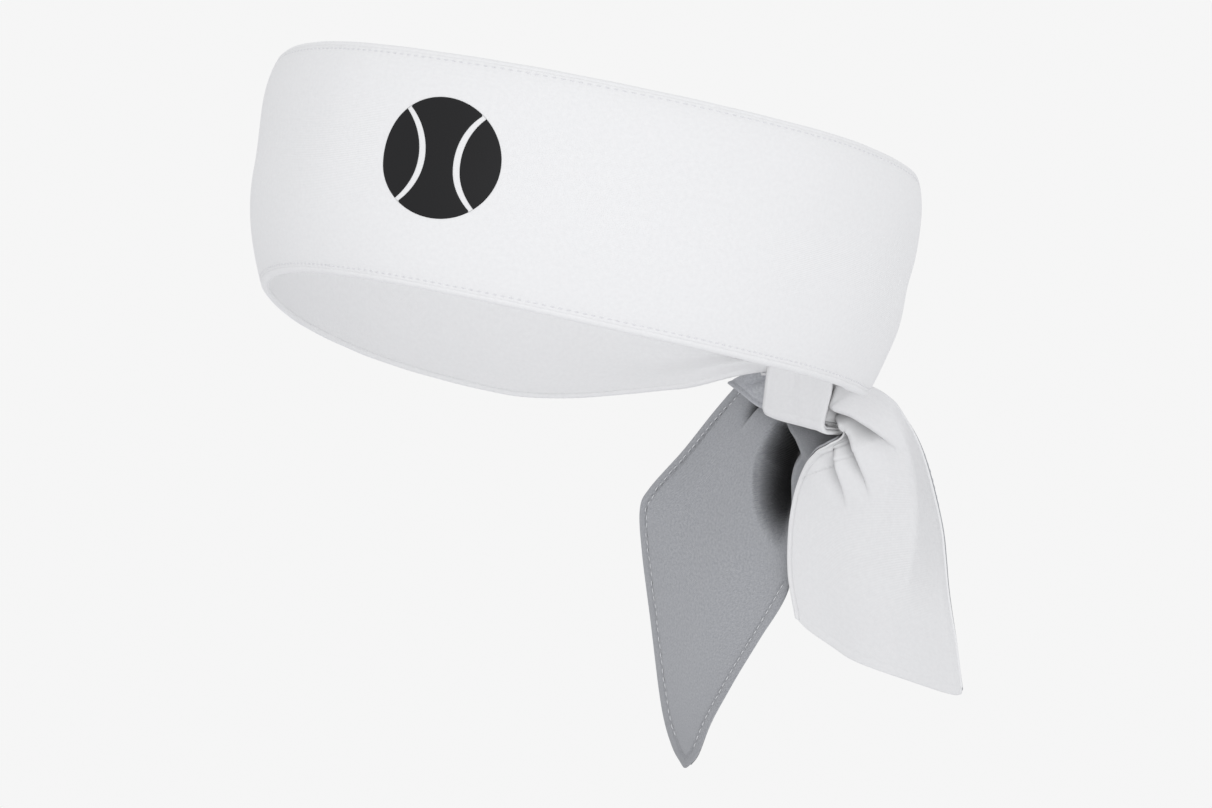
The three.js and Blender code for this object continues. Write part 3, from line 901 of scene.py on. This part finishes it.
LEFT_FOLDS = [
    {
        "route": [(12.6, -40.2), (17.9, -41.9), (21.6, -44.2), (26.4, -47.6), (33, -53)],
        "rise": 1.2, "fall": 4.4, "soft": 7.0,
    },
    {
        "route": [(12.6, -42.6), (15.2, -45.2), (17.6, -50), (19.2, -56.8), (21, -68)],
        "rise": 1.2, "fall": 3.4, "soft": 5.0,
    },
    {
        "route": [(13, -48.5), (12.2, -53.8), (11.4, -58.4), (12.4, -70)],
        "rise": 1.2, "fall": 3.2, "soft": 5.0, "fade_in": 0.45,
    },
]
LEFT_DIP = [(28.5, -40), (32.8, -48), (34.2, -58), (34.5, -68), (34.2, -80), (33.5, -100)]
LEFT_DIP_DEPTH, DIP_ROUNDING = 5.5, 1.2
LEFT_ARCH, LEFT_KICK = 1.2, 1.6            # bow toward the head, and turn back at the bottom
LEFT_MIDDLE = (20, 93, -84)


def hem_line(edge, middle, first, last):
    """A line inside an edge, on the side of the sheet's middle, as every eighth of 200 points but
    for the first and last few."""
    line = smooth_curve(edge, 200)
    along = unit(np.gradient(line, axis=0))
    inward = np.column_stack([along[:, 2], np.zeros(len(line)), -along[:, 0]])
    toward = np.sum(inward * (np.array(middle) - line), axis=-1, keepdims=True)
    return (line + inward * np.sign(np.median(toward)) * HEM_INSET)[first:-last:8]


def widen(grid, first, last):
    """The grid with its first and last columns moved outward, the ones beside them less, and
    its bottom edge kept back."""
    share = np.linspace(0, 1, grid.shape[1])
    outward = unit(grid[:, -1:] - grid[:, :1])
    shift = last * np.exp(-(1 - share) / PEEK_FADE) - first * np.exp(-share / PEEK_FADE)
    down = np.linspace(0, 1, len(grid))
    lift = unit(grid[-7:-6] - grid[-1:]) * (TUCK * np.exp(-(1 - down) / TUCK_FADE))[:, None, None]
    return grid + outward * shift[None, :, None] + lift


def build_tail(side, grid, relief, folds, layers, stitch_lines):
    """A tail: two layers sewn together at their edges, hanging in folds from the knot. The front
    layer is given first, and the stitches show on the facing."""
    grid = grid + np.stack([np.zeros_like(folds), folds, np.zeros_like(folds)], axis=-1)
    normal = back_normals(grid)
    front_grid, back_grid = grid - normal * relief[..., None], grid + normal * relief[..., None]
    surfaces = [front_grid, widen(back_grid, PEEK[side], -TUCK)]
    depths = [(-TAIL_GAP / 2 - TAIL_LAYER, -TAIL_GAP / 2), (TAIL_GAP / 2, TAIL_GAP / 2 + TAIL_LAYER)]
    for (layer, material, slot), surface, (front, back) in zip(layers, surfaces, depths):
        sheet = cloth_layer(f"{side}_tail_{layer}_cloth", surface, normal, front, back, material)
        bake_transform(sheet)
        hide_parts(f"{side}_tail_root_{layer}", f"{side}_tail_end_{layer}")
    stitch_grid, toward = (front_grid, -1) if layers[0][0] == "facing" else (back_grid, 1)
    thread = surface_stitches(
        f"{side}_tail_stitches", stitch_grid, normal, stitch_lines, HEM_STITCH_PITCH, toward,
        GREY_THREAD,
    )
    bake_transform(thread)
    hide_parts(f"{side}_tail_stitching")


def right_tail():
    grid = patch(RIGHT_OUTER_EDGE, RIGHT_INNER_EDGE, RIGHT_TOP, RIGHT_TIP, rows=230, cols=200)
    folds = hollow(grid, HOLLOW_EDGE, HOLLOW_RIM, HOLLOW_DEPTH)
    folds += sum(crease(grid, **fold) for fold in RIGHT_FOLDS)
    folds += swelling(grid, 2.2, (-44, -62), (16, 20)) - swelling(grid, 2.0, (-36, -98), (14, 26))
    hemmed = RIGHT_INNER_EDGE[RIGHT_HEM_START:]
    relief = hem_relief(edge_distance(grid, [RIGHT_OUTER_EDGE, hemmed]), HEM_INSET, rim=0.12, dip=0.26)
    lines = [hem_line(RIGHT_OUTER_EDGE, RIGHT_MIDDLE, 4, 6), hem_line(hemmed, RIGHT_MIDDLE, 2, 6)]
    layers = [("facing", GREY, "reverse_fabric"), ("face", TAIL_WHITE_PAINTED_SHADE, "face_fabric")]
    build_tail("right", grid, relief, folds, layers, lines)


def left_tail():
    grid = patch(LEFT_INNER_EDGE, LEFT_OUTER_EDGE, LEFT_TOP, LEFT_BOTTOM, rows=210, cols=180)
    x, below = grid[..., 0], -grid[..., 2]
    folds = sum(crease(grid, **fold) for fold in LEFT_FOLDS)
    folds += LEFT_KICK * smoothstep(below, 86, 106) - LEFT_ARCH * bell(x - 16, 16)
    outer_edges = [LEFT_OUTER_EDGE, LEFT_BOTTOM]
    folds += shallow_dip(grid, LEFT_DIP, LEFT_DIP_DEPTH, [LEFT_INNER_EDGE, *outer_edges])
    relief = hem_relief(edge_distance(grid, [LEFT_INNER_EDGE]), 1.25, rim=0.2, dip=0.26)
    relief *= smoothstep(below, 47, 52)
    relief += hem_relief(edge_distance(grid, outer_edges), HEM_INSET, rim=0.03, dip=0.05)
    lines = [
        hem_line(LEFT_INNER_EDGE, LEFT_MIDDLE, 80, 6),
        hem_line(LEFT_BOTTOM, LEFT_MIDDLE, 8, 30),
        hem_line(LEFT_OUTER_EDGE, LEFT_MIDDLE, 50, 8),
    ]
    layers = [("face", TAIL_WHITE_PAINTED_SHADE, "face_fabric"), ("facing", GREY, "reverse_fabric")]
    build_tail("left", grid, relief, folds, layers, lines)


def folded_corner():
    """Grey corner of the strip, folded out beside the knot."""
    tip = [(-28, 90.6, -33.4), (-27.9, 90.6, -33.2), (-27.8, 90.6, -33.0)]
    root = [(-9, 91.4, -42.2), (-9, 91.4, -36), (-9, 91.4, -29.2)]
    lower = [(-28, 90.6, -33.4), (-22, 90.8, -37.1), (-16.4, 91, -40.4), (-9, 91.4, -42.2)]
    upper = [(-27.8, 90.6, -33.0), (-22.6, 90.8, -31), (-18.1, 91, -29.6), (-9, 91.4, -29.2)]
    grid = patch(lower, upper, tip, root, rows=90, cols=50)
    route = [(-12, -33), (-16, -34.6), (-20, -35.4), (-24, -34.6)]
    grid[..., 1] += crease(grid, route, rise=0.5, fall=0.8, soft=2.4)
    normal = back_normals(grid)
    relief = hem_relief(edge_distance(grid, [lower]), 1.5, rim=0.2, dip=0.3)
    surface = grid - normal * relief[..., None]
    # Its grey is the lighter copy of the strip's reverse: painted light.
    corner = cloth_layer(
        "folded_corner_cloth", surface, normal, -0.7, 0.7, CORNER_GREY_PAINTED_LIGHT, "headband"
    )
    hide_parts("knot_folded_corner")


# ---- Studio --------------------------------------------------------------------------------

VIEW_AZIMUTH, VIEW_ELEVATION = 42.93, -3.48        # degrees
VIEW_DISTANCE = 1.25254                            # metres, as are the lights' distances and sizes
VIEW_ASIDE, VIEW_UP = 0.0064, -0.04149             # the aim point, from the origin
VIEW_LENS = 142.21
BACKDROP, FILL, FILL_TINT = 0.92, 0.84, (0.985, 0.99, 1, 1)
KEY_AZIMUTH, KEY_ELEVATION = 52.0, 16.0
KEY_DISTANCE, KEY_SIZE, KEY_POWER = 2.6, 1.6, 8.5
LOW_AZIMUTH, LOW_ELEVATION = 50.0, -22.0
LOW_DISTANCE, LOW_SIZE, LOW_POWER = 1.7, 0.9, 3.0


def view_axes(azimuth, elevation):
    """Right, up and toward the eye, for an eye at these angles round the object, in degrees."""
    azimuth, elevation = math.radians(azimuth), math.radians(elevation)
    level = Vector((math.sin(azimuth), -math.cos(azimuth), 0))
    back = level * math.cos(elevation) + Vector((0, 0, math.sin(elevation)))
    right = Vector((math.cos(azimuth), math.sin(azimuth), 0))
    return right, back.cross(right), back


def add_camera():
    right, up, back = view_axes(VIEW_AZIMUTH, VIEW_ELEVATION)
    camera = bpy.data.objects.new("camera", bpy.data.cameras.new("camera"))
    camera.data.lens = VIEW_LENS
    camera.data.sensor_width = 36
    camera.data.clip_start = 0.05
    place = back * VIEW_DISTANCE
    aim = right * VIEW_ASIDE + up * VIEW_UP
    camera.location = place
    camera.rotation_euler = (place - aim).to_track_quat("Z", "Y").to_euler()
    bpy.context.scene.collection.objects.link(camera)
    bpy.context.scene.camera = camera


def add_area_light(name, place, size, power):
    light = bpy.data.lights.new(name, "AREA")
    light.shape = "DISK"
    light.size = size
    light.energy = power
    lamp = bpy.data.objects.new(name, light)
    lamp.location = place
    lamp.rotation_euler = place.to_track_quat("Z", "Y").to_euler()
    bpy.context.scene.collection.objects.link(lamp)
    return lamp


def add_world():
    """Pale backdrop to the camera, a softer fill to the object."""
    world = bpy.data.worlds.new("studio")
    world.use_nodes = True
    tree = world.node_tree
    backdrop = tree.nodes["Background"]
    backdrop.inputs["Color"].default_value = (1, 1, 1, 1)
    backdrop.inputs["Strength"].default_value = BACKDROP
    fill = tree.nodes.new("ShaderNodeBackground")
    fill.inputs["Color"].default_value = FILL_TINT
    fill.inputs["Strength"].default_value = FILL
    seen = tree.nodes.new("ShaderNodeLightPath")
    choose = tree.nodes.new("ShaderNodeMixShader")
    tree.links.new(seen.outputs["Is Camera Ray"], choose.inputs["Fac"])
    tree.links.new(fill.outputs["Background"], choose.inputs[1])
    tree.links.new(backdrop.outputs["Background"], choose.inputs[2])
    tree.links.new(choose.outputs["Shader"], tree.nodes["World Output"].inputs["Surface"])
    bpy.context.scene.world = world


def add_floor():
    radius, level, sides = 5.0, -1.2, 96   # metres
    turn = np.linspace(0, 2 * np.pi, sides, endpoint=False)
    points = np.column_stack([radius * np.cos(turn), radius * np.sin(turn), np.full(sides, level)])
    mesh = bpy.data.meshes.new("floor")
    mesh.from_pydata(points.tolist(), [], [tuple(range(sides))])
    material, _, _ = new_material("floor_paper", PLAIN_WHITE, roughness=0.9)
    mesh.materials.append(material)
    floor = bpy.data.objects.new("floor", mesh)
    bpy.context.scene.collection.objects.link(floor)


def build_studio():
    add_camera()
    add_world()
    add_floor()
    add_area_light("key", view_axes(KEY_AZIMUTH, KEY_ELEVATION)[2] * KEY_DISTANCE, KEY_SIZE, KEY_POWER)
    add_area_light("low", view_axes(LOW_AZIMUTH, LOW_ELEVATION)[2] * LOW_DISTANCE, LOW_SIZE, LOW_POWER)
    bpy.context.scene.view_settings.view_transform = "Standard"


build_band()
build_mark()
build_knot()
folded_corner()
right_tail()
left_tail()
build_studio()
